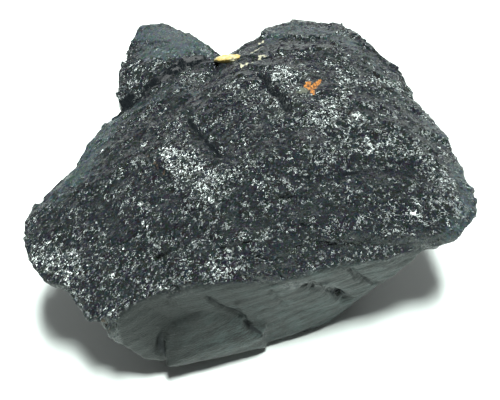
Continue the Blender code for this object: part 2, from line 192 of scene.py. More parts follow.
def hackle(points, size, slope, seed):
    # broken facets: space is split round scattered centres, and the surface leans its own way in
    # each cell
    scaled = points / size
    cell = np.floor(scaled)
    nearest = np.full(len(points), np.inf)
    height = np.zeros(len(points))
    for step in itertools.product((-1, 0, 1), repeat=3):
        neighbour = cell + step
        centre = neighbour + np.stack([hashed(neighbour, seed + k) for k in range(3)], axis=1)
        lean = np.stack([hashed(neighbour, seed + k) for k in range(3, 6)], axis=1) - 0.5
        away = scaled - centre
        distance = (away ** 2).sum(axis=1)
        closer = distance < nearest
        nearest = np.where(closer, distance, nearest)
        height = np.where(closer, 2 * slope * size * (away * lean).sum(axis=1), height)
    return height


def alongGrain(points, stretch):
    # coordinates that follow the bent grain: y less a parabola in x, and x squeezed so that ridges
    # come out long
    x, y, z = points.T
    across = y - stoneRelief["grainLean"] * x - stoneRelief["grainBend"] * x ** 2
    return np.stack([x / stretch, across, z], axis=1)


def alongStreaks(points):
    # coordinates along and across the parting face's streaks, each over the streaks' own size
    x, y, z = points.T
    length, pitch = schorlLook["streakSizes"]
    rise = stoneRelief["striaeRise"]
    return np.stack([(x + rise * z) / length, y / length, (z - rise * x) / pitch], axis=1)


def distanceToLine(points, line):
    # shortest distance to a line of straight pieces
    found = np.full(len(points), np.inf)
    for start, end in itertools.pairwise(np.array(line, dtype=float)):
        run = end - start
        share = np.clip((points - start) @ run / (run @ run), 0, 1)
        found = np.minimum(found, np.linalg.norm(points - start - share[:, None] * run, axis=1))
    return found


def bandSum(points, bands):
    # each band adds its change times a bell curve of the distance from its line
    return sum(change * np.exp(-(distanceToLine(points, line) / halfWidth) ** 2)
               for line, halfWidth, change in bands)


def blockPlanes(corners):
    # outward normal of each face of the hull round the corners, over its distance from the heart
    heart = np.array(stoneForm["heart"])
    octants = itertools.product((-1, 1), repeat=3)
    core = [heart + np.array(octant) * stoneForm["coreHalf"] for octant in octants]
    shell = bmesh.new()
    for corner in list(corners) + core:
        shell.verts.new(np.array(corner) - heart)
    bmesh.ops.convex_hull(shell, input=shell.verts[:])
    shell.normal_update()
    planes = np.array([np.array(face.normal) / face.normal.dot(face.verts[0].co) for face in shell.faces])
    shell.free()
    return np.unique(planes.round(5), axis=0)


def boxGrid():
    # directions from the heart, as unit vectors: an even grid on the top of a box, rows down its four
    # sides and rings that shrink to the middle of its underside; the last faces are the triangles
    # round that middle
    nx, ny, nz = stoneForm["cells"]
    wide, deep = stoneForm["boxHalf"]
    up, down = stoneForm["boxUp"], stoneForm["boxDown"]
    xs = np.linspace(-wide, wide, nx + 1)
    ys = np.linspace(-deep, deep, ny + 1)
    zs = up - (up - down) * np.linspace(0, 1, nz + 1) ** stoneForm["sideLean"]
    topX, topY = np.meshgrid(xs, ys, indexing="ij")
    top = np.stack([topX, topY, np.full_like(topX, up)], axis=-1).reshape(-1, 3)
    sides = [(xs[:-1], np.full(nx, -deep)), (np.full(ny, wide), ys[:-1]),
             (xs[:0:-1], np.full(nx, deep)), (np.full(ny, -wide), ys[:0:-1])]
    loop = np.concatenate([np.stack(side, axis=1) for side in sides])
    around = len(loop)
    rings = stoneForm["footRings"]
    loops = [(loop, z) for z in zs[1:]] + [(loop * (1 - k / rings), down) for k in range(1, rings)]
    lower = [np.column_stack([ring, np.full(around, z)]) for ring, z in loops]
    directions = np.concatenate([top, *lower, [(0, 0, down)]])
    directions /= np.linalg.norm(directions, axis=1)[:, None]

    i, j = np.meshgrid(np.arange(nx), np.arange(ny), indexing="ij")
    corner = (i * (ny + 1) + j).ravel()
    topFaces = np.stack([corner, corner + ny + 1, corner + ny + 2, corner + 1], axis=1)
    rim = np.concatenate([np.arange(nx) * (ny + 1), nx * (ny + 1) + np.arange(ny),
                          np.arange(nx, 0, -1) * (ny + 1) + ny, np.arange(ny, 0, -1)])
    rows = np.concatenate([rim[None], len(top) + np.arange(len(loops) * around).reshape(-1, around)])
    nextRows = np.roll(rows, -1, axis=1)
    sideFaces = np.stack([rows[:-1], rows[1:], nextRows[1:], nextRows[:-1]], axis=-1).reshape(-1, 4)
    middle = np.full(around, len(directions) - 1)
    fan = np.stack([rows[-1], middle, nextRows[-1]], axis=1)
    return directions, np.concatenate([topFaces, sideFaces]), fan


def stoneReach(directions):
    # how far the surface lies along each direction u: a block's reach is one over the largest of
    # n.u / d, its faces' normals over their distances, rounded a little at its edges by a power mean;
    # the farthest block counts, and the foot's plane ends it
    reach = np.zeros(len(directions))
    for corners in stoneForm["blocks"].values():
        share = np.clip(directions @ blockPlanes(corners).T, 1e-9, None)    # kept over zero
        largest = share.max(axis=1)
        rounded = ((share / largest[:, None]) ** stoneForm["edgeSharpness"]).sum(axis=1)
        reach = np.maximum(reach, 1 / (largest * rounded ** (1 / stoneForm["edgeSharpness"])))
    level = -1e-6    # a direction above this never meets the foot's plane
    fall = np.minimum(directions[:, 2], level)
    toFoot = np.where(directions[:, 2] < level, -stoneForm["heart"][2] / fall, np.inf)
    return np.minimum(reach, toFoot)


def surfaceNormals(points, faces):
    # mean of the cross products of the diagonals of the faces round each point
    corners = [points[faces[:, k]] for k in range(4)]
    crossed = np.cross(corners[2] - corners[0], corners[3] - corners[1])
    normals = np.zeros_like(points)
    for k in range(4):
        np.add.at(normals, faces[:, k], crossed)
    return normals / np.maximum(np.linalg.norm(normals, axis=1)[:, None], 1e-12)


def partingShare(points, normals):
    # 1 on the smooth striated parting face, 0 on the broken stone: it faces -Y and lies below its
    # crest line, between that line's ends
    crestX, crestZ = np.array(stoneRelief["partingCrest"]).T
    below = np.interp(points[:, 0], crestX, crestZ) + stoneRelief["partingRaise"] - points[:, 2]
    beside = np.minimum(points[:, 0] - crestX[0], crestX[-1] - points[:, 0])
    facing = (stoneRelief["partingNormalY"] - normals[:, 1]) * stoneRelief["partingFade"]
    return np.clip(np.minimum(np.minimum(below, beside), facing), 0, 1)


def lowShare(points, start, depth):
    # 0 above the start height, 1 from the depth below it downwards
    return np.clip((start - points[:, 2]) / depth, 0, 1)


def reliefHeight(points, normals, parting, dull):
    # swells, and ridges along the grain with leaning facets: these two are weaker on the dull skin
    # and below the rim, and back in full lower down. All are calmed on the parting face, which has
    # striae instead, a sine across them with its phase swayed. The grooves cut in everywhere.
    rough = swellSum(points, stoneRelief["swells"])
    grain = alongGrain(points, stoneRelief["ridgeStretch"])
    fine = swellSum(grain, stoneRelief["ridges"])
    fine += sum(hackle(grain, size, slope, seed) for size, slope, seed in stoneRelief["hackle"])
    worn = np.maximum(dull, lowShare(points, *stoneZones["rimFade"]))
    fresh = lowShare(points, *stoneZones["rimBack"]) * (1 - parting)
    rough += fine * (1 - stoneZones["dullCalm"] * worn * (1 - fresh))
    height = rough * (1 - (1 - stoneRelief["partingCalm"]) * parting)
    sway, spell = stoneRelief["striaeSway"]
    for pitch, rise, seed in stoneRelief["striae"]:
        lines = (points[:, 2] - stoneRelief["striaeRise"] * points[:, 0]) / pitch
        height += parting * rise * np.sin(2 * np.pi * lines + sway * swell(points, spell * pitch, seed))
    height -= bandSum(points, stoneRelief["grooves"].values())
    return height * np.clip(points[:, 2] / stoneRelief["footFade"], 0, 1)


def fittedTo(points, low, high):
    # moved and scaled a little, axis by axis, so that the surface fills the solid's own box
    ownLow, ownHigh = points.min(axis=0), points.max(axis=0)
    return low + (points - ownLow) * (high - low) / (ownHigh - ownLow)


def addMesh(name, points, faces, smooth):
    mesh = bpy.data.meshes.new(name)
    mesh.from_pydata(points * mm, [], faces)
    mesh.polygons.foreach_set("use_smooth", np.full(len(mesh.polygons), smooth))
    mesh.update()
    piece = bpy.data.objects.new(name, mesh)
    bpy.context.scene.collection.objects.link(piece)
    return piece


def addAttribute(piece, name, kind, values):
    layer = piece.data.attributes.new(name, kind, "POINT")
    layer.data.foreach_set("vector" if kind == "FLOAT_VECTOR" else "value", values.ravel())


def nodeTools(owner):
    # short ways to add shader nodes, each taking values or sockets: any kind, and the common ones by name
    tree = owner.node_tree

    def make(kind, settings=None, *inputs, **named):
        node = tree.nodes.new(kind)
        for key, value in (settings or {}).items():
            setattr(node, key, value)
        for slot, value in list(enumerate(inputs)) + list(named.items()):
            socket = node.inputs[slot]
            if isinstance(value, bpy.types.NodeSocket):
                tree.links.new(value, socket)
            else:
                socket.default_value = value
        return node

    def noise(place, scale, detail, output="Fac", roughness=0.5):
        node = make("ShaderNodeTexNoise", Vector=place, Scale=scale, Detail=detail, Roughness=roughness)
        return node.outputs[output]

    def ranged(value, fromLow, fromHigh, toLow=0.0, toHigh=1.0):
        return make("ShaderNodeMapRange", None, value, fromLow, fromHigh, toLow, toHigh).outputs["Result"]

    def blend(share, low, high, kind="RGBA"):
        return make("ShaderNodeMix", {"data_type": kind}, Factor=share, A=low, B=high).outputs["Result"]

    return make, noise, ranged, blend


# What varies over the surface. Bands: the points of a line, a half-width and a change. Spots: a place
# and a radius.
grooves = stoneRelief["grooves"]
peakGrooveLine = [(-25.8, 10.4, 28.3), (-22.9, 12.1, 29.6), (-17.8, 15.3, 31.7), (-15.5, 17.4, 31.8),
                  (-12.5, 20, 31.1), (-9.5, 21.9, 30.3)]
stoneZones = {
    "sparkle": 0.27,                 # share of the broken cells that lean into the light
    "sparklePatches": [(8.5, 0.20, 77), (4.6, 0.26, 71), (2.2, 0.22, 73)],   # (wavelength, change, seed)
    "sparkleBands": [
        ([(-14, -8.5, 33.5), (-11, -13, 33.5), (-7, -16.5, 33)], 3.4, 0.6),
        ([(-15, -6, 33.5), (-14, -8, 33.5)], 2, 0.4),
        ([(-19, 10, 31), (-13, -0.5, 34)], 2.4, 0.35), ([(-20, -4, 32.5), (-19.5, -5, 33)], 1.1, 0.6),
        ([(-3.5, -12.5, 34.5), (2, -14.5, 34)], 2, 0.35), ([(3, 7.5, 36), (5.5, 0.5, 36)], 1.6, 0.4),
        ([(4.5, 14, 35), (8.5, 6, 36)], 2.2, 0.35), ([(13.5, 2.5, 35.5), (18, 5.5, 35)], 2.2, 0.4),
        ([(18, 13, 34.5), (26, 11.5, 33)], 2.6, 0.45), ([(20, 1, 34.5), (20.5, 1, 34.5)], 0.9, 0.6),
        ([(30, -7.5, 32.5), (33.5, -10, 31.5)], 2.4, 0.3), ([(23, -17, 31), (30, -18, 30)], 1.6, 0.35),
        ([(-16, -32, 26.5), (-14.5, -32.5, 26)], 1.2, 0.6),
        ([(-6, -28.5, 28.5), (-4, -29.5, 28)], 1.7, 0.5),
        ([(-38, -27.5, 27.5), (-32, -29.5, 26.5)], 3.2, 0.6),
        ([(-26, -34.5, 23.5), (-24, -35, 22.5)], 1.4, 0.7),
        ([(-25, -29.5, 27), (-24, -30.5, 26.5)], 1.4, 0.5),
        ([(-10, 11, 32.5), (-3.5, 6.5, 35.5)], 2.6, 0.3),
        ([(-27.5, -15, 31), (-23.5, -20, 31), (-20, -24, 30)], 2.6, -0.35),
        ([(-1, -20, 32), (7, -23, 31), (14, -24, 28.5)], 2.4, -0.35),
        ([(9, -12.5, 34.5), (19, -10.5, 33.5), (29.5, -9, 32.5)], 2.1, -1.0),
        ([(-11.5, 1, 34.5), (-6, -7.5, 35)], 2.0, -0.9),
        ([(-13.5, -15.5, 33), (-7.5, -24.5, 30.5)], 1.6, -0.7),
        ([(-21, 0.5, 31.5), (-14, -5.5, 34)], 1.6, -0.35),
        ([(-19.7, -6, 32.8), (-15.2, -11.8, 33.2)], 1.1, -0.8),
        ([(19, -16.5, 31.5), (23, -17, 31)], 1.2, -0.3),
        (peakGrooveLine, 1.5, -1.3), ([(-24.8, 14, 29.2), (-24.3, 21, 30)], 2.0, 0.5),
        ([(2, 12, 35.5), (7, 2.5, 36)], 0.7, -0.6), ([(-5, 2.5, 35.5), (-5, -3.5, 35.5)], 1.8, -0.3),
        ([(-32.5, -23.5, 29), (-25.5, -22.5, 30)], 2, -0.25),
        ([(-10, -19, 32.5), (4, -19, 32.5), (16, -19, 31.5)], 4.5, -0.2),
        ([(12, -16, 33), (26, -15, 31)], 4, -0.28),
        ([(20, -23.5, 26.5), (28, -21.8, 25.8)], 1.3, -0.6)],
    "dullBands": [                   # dull, smoother skin along the rims, painted paler as the sheen of the bright surroundings
        ([(-32, -6.5, 29), (-29.5, 0, 28.5), (-26.5, 5.5, 28.5)], 3.8, 0.75),
        ([(-21.5, 28, 31), (-16, 27, 31.5), (-9.5, 24, 30)], 3.2, 1.0),
        ([(-20.5, 21.5, 31), (-14, 21.5, 31)], 2.4, 0.85),
        ([(-21.5, 8.5, 29.7), (-17, 10, 31.5), (-14, 11.5, 32)], 1.8, 0.6),
        ([(-10.5, 15.5, 32), (-6, 17.5, 31.5)], 1.8, 0.55),
        ([(4, 25.5, 32), (8, 28, 31.5), (15, 27, 32), (20, 24, 32)], 2.8, 0.65),
        ([(22, 19.5, 32.5), (27, 14.5, 32), (29, 8, 32)], 2.2, 0.45),
        ([(33, 5, 30.5), (36.5, -0.5, 29.5)], 2, 0.45),
        ([(39, -7.5, 29), (40, -13.5, 29.5), (39.5, -17.5, 28.5), (36.5, -20.5, 27)], 2.6, 0.68),
        ([(-38, -15, 29), (-35.5, -12, 29.5), (-33, -8.5, 29.5)], 1.8, 0.6),
        ([(-40.5, -20, 28.5), (-40.5, -23, 28.5)], 1.4, 0.5),
        (peakGrooveLine, 1.3, -1.5), ([(-24.5, 19, 30), (-23, 14.5, 30)], 1.8, -0.6)],
    "dullFacing": (0.42, 0.65),      # and wherever the skin turns this far to +Y,
    "dullMean": 0.5,                 # in patches: their mean share and their (wavelength, change, seed)
    "dullPatches": (9.0, 1.1, 83),
    "dullCalm": 0.6,                 # how much of the fine relief the dull skin takes; as much goes below this height, over this much, and is back below this one, over this much
    "rimFade": (29.5, 2.5),          # below this height, over this much,
    "rimBack": (24.0, 4.0),          # and is back below this one, over this much
    "darkCracks": [                  # clefts too tight for light to reach the bottom, with that shade painted in
        (grooves["cleft"][0], 0.9, 0.68), (grooves["valley"][0], 0.9, 0.6),
        ([(-13.5, -15.5, 32.9), (-10.7, -19.9, 31.8), (-7.4, -24.5, 30.4)], 0.7, 0.58),
        (peakGrooveLine, 1.3, 1.1),
        ([(2.1, 12.1, 35.3), (4.8, 7.2, 36), (7.3, 2.7, 36.2)], 0.7, 1.1),
        (grooves["partingCrack"][0], 0.45, 0.9), (grooves["slabCrack"][0], 0.6, 0.9),
        ([(-16.2, -33.5, 12.8), (-16.6, -33.8, 12.1), (-16.6, -34.4, 9.8), (-16.2, -34.9, 8)], 0.6, 0.9),
        ([(9.5, -28.4, 22.2), (11.1, -27.7, 20.5), (13.6, -26.6, 17.9), (16, -25.6, 15.7),
          (17.6, -24.7, 13)], 1.1, 0.9),
        ([(18.5, -25.6, 25.8), (18.2, -26.1, 24), (19.4, -25, 18.5)], 0.4, 0.8),
        ([(19.9, -25.2, 21.1), (21.5, -24.2, 17.7), (23.2, -23.2, 14.5)], 0.45, 0.85),
        ([(16.5, -26.6, 25.4), (18.1, -26, 22.9)], 0.35, 0.7),
        ([(23.6, -24, 24), (25.6, -23.5, 21.5), (27.3, -23.1, 23)], 1.7, 0.62)],
    "brokenPatches": [               # where the parting face is torn open
        ([(7, -29, 23.5), (11, -27.8, 21.5), (14, -26.4, 18.5), (17.5, -24.8, 12.5)], 1.4, 1.1),
        ([(-15, -33, 25), (-9, -32.5, 24.5)], 0.8, 0.7)],
    "faceTone": ([-16, 6], [0.1, 1.0]),   # painted shade: how pale the parting face is along X, darker towards its left end where it faces the floor's shadow
    "paintedLowShade": ([9, 17], [1.25, 0.8]),    # times this painted shade by height: paler low down, darker higher up
    "flakes": [                      # single larger facets that face the light
        (-6.9, -16.8, 33, 1.0), (20.3, 1.3, 34.6, 1.0), (15.8, 3.5, 35.3, 0.8), (-20.1, -3.7, 32.7, 0.9),
        (29.7, -17.5, 30, 0.9), (-15, -8.1, 33.5, 0.8), (-32.4, -29, 26.9, 0.8), (-16.8, -24.2, 30, 0.7),
        (-28.4, -23.3, 29.3, 0.7), (-14, 4, 33.4, 0.7), (-22.4, -25.2, 29.2, 0.6), (-23.8, 14.6, 29.6, 0.7),
        (-13.2, -1.5, 34.1, 0.6), (-19.6, 23.2, 31.3, 0.6), (-14.7, -32.2, 26.4, 0.7),
        (-6.2, -21.2, 31.6, 0.6), (0.3, -21.3, 31.5, 0.5), (22.3, -21, 29.7, 0.5),
        (35.9, -2.4, 30.3, 0.7), (-24.6, -29.4, 26.9, 0.7),
        (-6.9, -4, 35, 0.5), (-0.4, -9.1, 35.6, 0.5), (1.7, -14.1, 34.2, 0.5), (23.5, -17.1, 31, 0.5),
        (-25.2, -34.6, 22.6, 0.7), (9.7, -6.8, 35.7, 0.5), (-30.7, -13.3, 30.6, 0.5), (6.4, 18, 34.2, 0.5),
        (-19.8, -19.9, 31.1, 0.6), (-19.2, -20.8, 30.9, 0.6), (-18.7, -21.6, 30.7, 0.6),
        (-18.4, -22.5, 30.4, 0.6), (-27.7, -3, 29.8, 0.45), (-26.5, -4.7, 30.6, 0.4),
        (-25.4, -6.4, 31.5, 0.45)],
    "cream": [
        (0.4, 21.5, 32.1, 0.7), (1, 22.1, 32.1, 0.7), (1.6, 22.4, 32.2, 0.7), (2.2, 22.8, 32.3, 0.6),
        (1.9, 24.6, 31.4, 0.6), (2.7, 25.2, 31.4, 0.6), (1.8, 19.5, 33.3, 0.7), (2.4, 19.8, 33.3, 0.6),
        (3, 19, 33.6, 0.6), (-0.8, 17.3, 33.5, 0.7), (0, 17.2, 33.7, 0.8), (0.8, 17.6, 33.7, 0.7),
        (1.4, 18.1, 33.6, 0.7), (-1.7, 16.7, 33.4, 0.7), (-2.7, 17, 32.8, 0.5)],
    "rust": [(10.7, 8.6, 35.9, 0.9), (11.3, 9.5, 35.8, 0.9), (11.7, 8.2, 35.8, 1.3), (12, 7.2, 35.7, 1.0),
             (12.5, 8.8, 35.7, 1.0), (13.1, 9.9, 35.7, 0.8), (13.5, 10.5, 35.6, 0.6)],
    "pale": [(9.5, 6.7, 36, 1.3), (10.3, 7.3, 35.9, 1.3)],
    "stain": [
        (-27, -35.6, 22, 0.8), (-26.4, -35.8, 21.1, 1.0), (-26, -36.1, 19.9, 0.7),
        (-25.2, -36.1, 18.7, 0.6), (-24.5, -36.2, 17.4, 0.6), (-19.6, -6.1, 32.9, 0.5),
        (-18.9, -7, 33, 0.4), (-17.6, -8.6, 33.1, 0.6), (-17.1, -9.3, 33.1, 0.4),
        (-15.9, -10.9, 33.1, 0.6)],
}

# Pairs marked "by sparkle" are the values in dark and in sparkling places.
schorlLook = {
    "broken": (0.0095, 0.0115, 0.014, 1.0),
    # the dull skin: paler and bluer than the broken stone, a painted reflection of the bright surroundings
    # on rims and backs
    "dull": (0.021, 0.034, 0.038, 1.0),
    "parting": (0.0005, 0.001, 0.001, 1.0),
    "partingPale": (0.030, 0.046, 0.045, 1.0),
    # pale specks painted as glints where the stone sparkles
    "splinter": (0.11, 0.115, 0.11, 1.0),
    "paintedCrackShade": (0.005, 0.0065, 0.008, 1.0),
    "mottled": (0.02, 0.026, 0.022, 1.0),
    "cream": (0.40, 0.38, 0.28, 1.0),
    "rust": (0.50, 0.19, 0.03, 1.0),   # the brightest of its grains
    "rustDark": (0.06, 0.022, 0.01, 1.0),
    "pale": (0.075, 0.08, 0.06, 1.0),
    "stain": (0.055, 0.036, 0.023, 1.0),
    "hueSpread": 1.0,                  # how far single facets stray from their colour
    "sparkleRange": (0.2, 0.8),        # the sparkling share of dark and of sparkling places
    "splinterShare": (0.02, 0.11),     # share of the finest facets painted pale as glints, by sparkle
    "mirrorShare": (0.45, 0.88),       # share of them left glassy, by sparkle
    "mirrorRange": (0.0, 0.8),         # the sparkling shares for that
    "mirrorDull": 0.4,                 # how many of the glassy ones the dull skin keeps
    "roughGlassy": 0.195,
    "roughBroken": (0.33, 0.34),       # by sparkle
    "roughDull": 0.42,
    "roughParting": 0.52,
    "roughMarks": 0.7,                 # on the coloured marks and in the parting face's cracks
    "ior": 1.47,
    "tint": (0.93, 1.0, 0.975, 1.0),
    "cellSizes": [1.6, 0.7, 0.25],     # broken facets, mm
    "cellLeans": [0.24, 0.28, 0.50],
    "cellStretch": 1.2,                # how much longer than wide they are
    "cellWarp": 0.9,                   # how far the cells' outlines wander, mm
    "coarseSay": 0.5,                  # the coarse cells' part, beside the middle ones', in which sparkle
    "drawnRange": (0.12, 0.88),        # what the two together draw, least and most
    "darkLean": (0.42, 0.12),          # how far the facets that don't sparkle lean to a side and back
    "livelyFrom": (0.05, 0.35),        # the facets lean fully above this sparkling share
    "calmLean": 0.75,                  # and only by this share below it
    "quietLean": 0.3,                  # share of the leaning left on the dull skin and parting face
    "flakeLean": 0.4,                  # and on the single larger flakes
    "facingUp": (0.25, 0.75),          # Z of the normal on a wall and on a top
    "cleavage": (0.0, -0.3, 0.95),     # direction the broken facets of a top favour
    "cleavagePull": (0.35, 0.7),       # by sparkle
    "crackWall": (0.45, 0.12, 0.88),   # the way the clefts' smooth sides face, clear of the light
    "ragged": 2.4,                     # how far a noise shifts the zones' shares before they are cut,
    "crackRagged": 0.25,               # the cracks' by so much of that,
    "flakeRagged": 1.2,                # the flakes'
    "markRagged": 1.3,                 # and the marks' by a finer noise
    "dullEdge": (0.3, 0.8),            # the shares between which each zone fades in
    "crackEdge": (0.45, 0.62),
    "flakeEdge": (0.2, 0.35),
    "markEdge": (0.34, 0.46),
    "markLeast": 0.01,                 # no mark below this share, so that none strays outside its spots
    "wanderNoise": (1.1, 4.0),         # features to the mm, and detail
    "edgeNoise": (1.2, 5.0),
    "edgeRoughness": 0.7,
    "skinNoise": (1.8, 5.0),
    "mottleNoise": (0.35, 3.0),
    "markNoise": (2.0, 3.0),
    "dustNoise": (1 / 0.22, 1.0),      # the parting face's grain is 0.22 mm
    "streakNoise": (1.0, 4.0),         # in lengths and pitches of a streak
    "streakSizes": (1.8, 0.30),        # the parting face's fine streaks: length and pitch, mm
    "dustSay": 0.5,                    # the grain's height over that of the streaks
    "fineRelief": 0.28,                # height of the two where the noise is at its fullest, mm
    "mottleRange": (0.45, 0.7, 0.0, 0.35),   # how far the mottling shows
    "paleShares": (0.55, 0.45, 0.5),   # how much streaks, grain and mottling say where the face is pale
    "paleRange": (0.45, 0.62),
}


def spotShare(points, spots):
    # 1 in the middle of a spot and 0 at its radius and beyond, the strongest spot counting
    shares = [1 - np.linalg.norm(points - spot[:3], axis=1) / spot[3] for spot in np.array(spots)]
    return np.clip(np.max(shares, axis=0), 0, 1)


def schorlMaterial():
    material = bpy.data.materials.new("schorlFinish")
    material.use_nodes = True
    make, noise, ranged, blend = nodeTools(material)
    shader = material.node_tree.nodes["Principled BSDF"]
    join = material.node_tree.links.new
    look = schorlLook

    def read(name):
        return make("ShaderNodeAttribute", {"attribute_name": name}).outputs

    def calc(operation, *inputs):
        return make("ShaderNodeMath", {"operation": operation}, *inputs).outputs[0]

    def vector(operation, *inputs, **named):
        return make("ShaderNodeVectorMath", {"operation": operation}, *inputs, **named).outputs[0]

    def scaled(source, share):
        return vector("SCALE", source, Scale=share)

    def centred(source):
        return vector("SUBTRACT", source, (0.5, 0.5, 0.5))

    def rest(share):
        return calc("SUBTRACT", 1.0, share)

    grain = read("grain")["Vector"]
    parting = read("parting")["Fac"]
    sparkle = read("sparkle")["Fac"]

    # ragged edges for the zones: a noise shifts each share before it is cut
    edge = calc("SUBTRACT", noise(grain, *look["edgeNoise"], roughness=look["edgeRoughness"]), 0.5)
    ragged = calc("MULTIPLY", edge, look["ragged"])
    dull = ranged(calc("ADD", read("dull")["Fac"], ragged), *look["dullEdge"])
    quiet = calc("MAXIMUM", parting, dull)
    crack = calc("ADD", read("crack")["Fac"], calc("MULTIPLY", ragged, look["crackRagged"]))
    crack = ranged(crack, *look["crackEdge"])
    flake = calc("MULTIPLY_ADD", edge, look["flakeRagged"], read("flakes")["Fac"])
    flake = ranged(flake, *look["flakeEdge"])

    # broken facets: nested cells, each leaning its own way; those outside the sparkling share lean aside
    wander = noise(grain, *look["wanderNoise"], "Color")
    warped = vector("ADD", grain, scaled(centred(wander), look["cellWarp"]))
    lean = (0, 0, 0)
    parts = []
    for size, strength in zip(look["cellSizes"], look["cellLeans"]):
        cells = make("ShaderNodeTexVoronoi", Vector=warped, Scale=1 / size).outputs["Color"]
        lean = vector("ADD", lean, scaled(centred(cells), strength))
        parts.append(make("ShaderNodeSeparateColor", None, cells).outputs)
    coarse, middle, finest = parts
    hue = centred(cells)    # the finest cells' own colour
    drawn = calc("MULTIPLY", coarse[0], look["coarseSay"])
    drawn = calc("MULTIPLY_ADD", middle[0], 1 - look["coarseSay"], drawn)
    outside = calc("GREATER_THAN", drawn, ranged(sparkle, 0.0, 1.0, *look["drawnRange"]))
    side = calc("SIGN", calc("SUBTRACT", middle[1], 0.5))
    toSide, back = look["darkLean"]
    aside = make("ShaderNodeCombineXYZ", None, calc("MULTIPLY", calc("MULTIPLY", outside, side), toSide),
                 calc("MULTIPLY", outside, back)).outputs[0]
    lean = scaled(lean, ranged(sparkle, *look["livelyFrom"], look["calmLean"], 1.0))
    lean = scaled(vector("ADD", lean, aside), ranged(quiet, 0.0, 1.0, 1.0, look["quietLean"]))
    lean = scaled(lean, ranged(flake, 0.0, 1.0, 1.0, look["flakeLean"]))

    # streaks and grain on the parting face and a fine skin elsewhere, as relief too small for the mesh
    streaks = noise(read("streak")["Vector"], *look["streakNoise"])
    dust = noise(grain, *look["dustNoise"])
    rubbed = calc("MULTIPLY_ADD", dust, look["dustSay"], streaks)
    height = blend(parting, noise(grain, *look["skinNoise"]), rubbed, "FLOAT")
    bump = make("ShaderNodeBump", Strength=1.0, Distance=look["fineRelief"] * mm, Height=height)

    # the normal: the relief's, pulled to the cleavage on tops, plus the facets' lean; cracks face one way
    normal = make("ShaderNodeNewGeometry").outputs["Normal"]
    facingUp = ranged(make("ShaderNodeSeparateXYZ", None, normal).outputs["Z"], *look["facingUp"])
    pull = calc("MULTIPLY", calc("MULTIPLY", facingUp, rest(quiet)),
                ranged(sparkle, *look["sparkleRange"], *look["cleavagePull"]))
    pull = calc("MAXIMUM", pull, flake)
    mean = vector("ADD", scaled(bump.outputs["Normal"], rest(pull)), scaled(look["cleavage"], pull))
    wall = calc("MULTIPLY", calc("MULTIPLY", crack, facingUp), rest(parting))
    leaning = scaled(vector("ADD", mean, lean), rest(wall))
    turned = vector("ADD", leaning, scaled(look["crackWall"], wall))
    join(vector("NORMALIZE", turned), shader.inputs["Normal"])

    # colours, with a slow mottling
    mottle = noise(grain, *look["mottleNoise"])
    stray = vector("MULTIPLY_ADD", hue, (look["hueSpread"],) * 3, (1, 1, 1))
    # the dull skin's paler colour is a painted reflection of the bright surroundings
    broken, paleSheen = (vector("MULTIPLY", stray, look[name][:3]) for name in ("broken", "dull"))
    shade = blend(dull, broken, paleSheen)
    # painted highlights: pale specks on the finest facets, denser where it sparkles
    splinters = ranged(sparkle, *look["sparkleRange"], *look["splinterShare"])
    splinters = calc("LESS_THAN", finest[0], splinters)
    shade = blend(calc("MULTIPLY", splinters, rest(dull)), shade, look["splinter"])
    shade = blend(ranged(mottle, *look["mottleRange"]), shade, look["mottled"])
    fromStreaks, fromDust, fromMottle = look["paleShares"]
    pale = calc("MULTIPLY_ADD", streaks, fromStreaks, calc("MULTIPLY", dust, fromDust))
    pale = calc("MULTIPLY_ADD", calc("SUBTRACT", mottle, 0.5), fromMottle, pale)
    # the streaks' paleness is cut by the painted shade along the face
    pale = calc("MULTIPLY", ranged(pale, *look["paleRange"]), read("faceTone")["Fac"])
    shade = blend(parting, shade, blend(pale, look["parting"], look["partingPale"]))

    # the coloured marks, each only within its spots
    specks = calc("SUBTRACT", noise(grain, *look["markNoise"]), 0.5)
    grains = blend(finest[1], look["rustDark"], look["rust"])
    marked = 0.0
    for mark in ("cream", "rust", "pale", "stain"):
        spot = read(mark)["Fac"]
        share = ranged(calc("ADD", spot, calc("MULTIPLY", specks, look["markRagged"])), *look["markEdge"])
        share = calc("MULTIPLY", share, calc("GREATER_THAN", spot, look["markLeast"]))
        shade = blend(share, shade, grains if mark == "rust" else look[mark])
        marked = calc("MAXIMUM", marked, share)
    # painted shade: the clefts and the parting face's cracks and recesses darkened
    join(blend(crack, shade, look["paintedCrackShade"]), shader.inputs["Base Color"])

    # roughness: glassy facets and flakes, satin broken stone, dull skin, the parting face and the marks
    glassy = calc("MULTIPLY", ranged(sparkle, *look["mirrorRange"], *look["mirrorShare"]),
                  ranged(dull, 0.0, 1.0, 1.0, look["mirrorDull"]))
    glassy = calc("MAXIMUM", calc("LESS_THAN", finest[2], glassy), flake)
    rough = ranged(sparkle, *look["sparkleRange"], *look["roughBroken"])
    for share, value in ((dull, "roughDull"), (glassy, "roughGlassy"), (parting, "roughParting")):
        rough = blend(share, rough, look[value], "FLOAT")
    worn = calc("MULTIPLY", calc("MAXIMUM", marked, calc("MULTIPLY", crack, parting)), look["roughMarks"])
    join(calc("MAXIMUM", rough, worn), shader.inputs["Roughness"])
    shader.inputs["IOR"].default_value = look["ior"]
    shader.inputs["Specular Tint"].default_value = look["tint"]
    return material


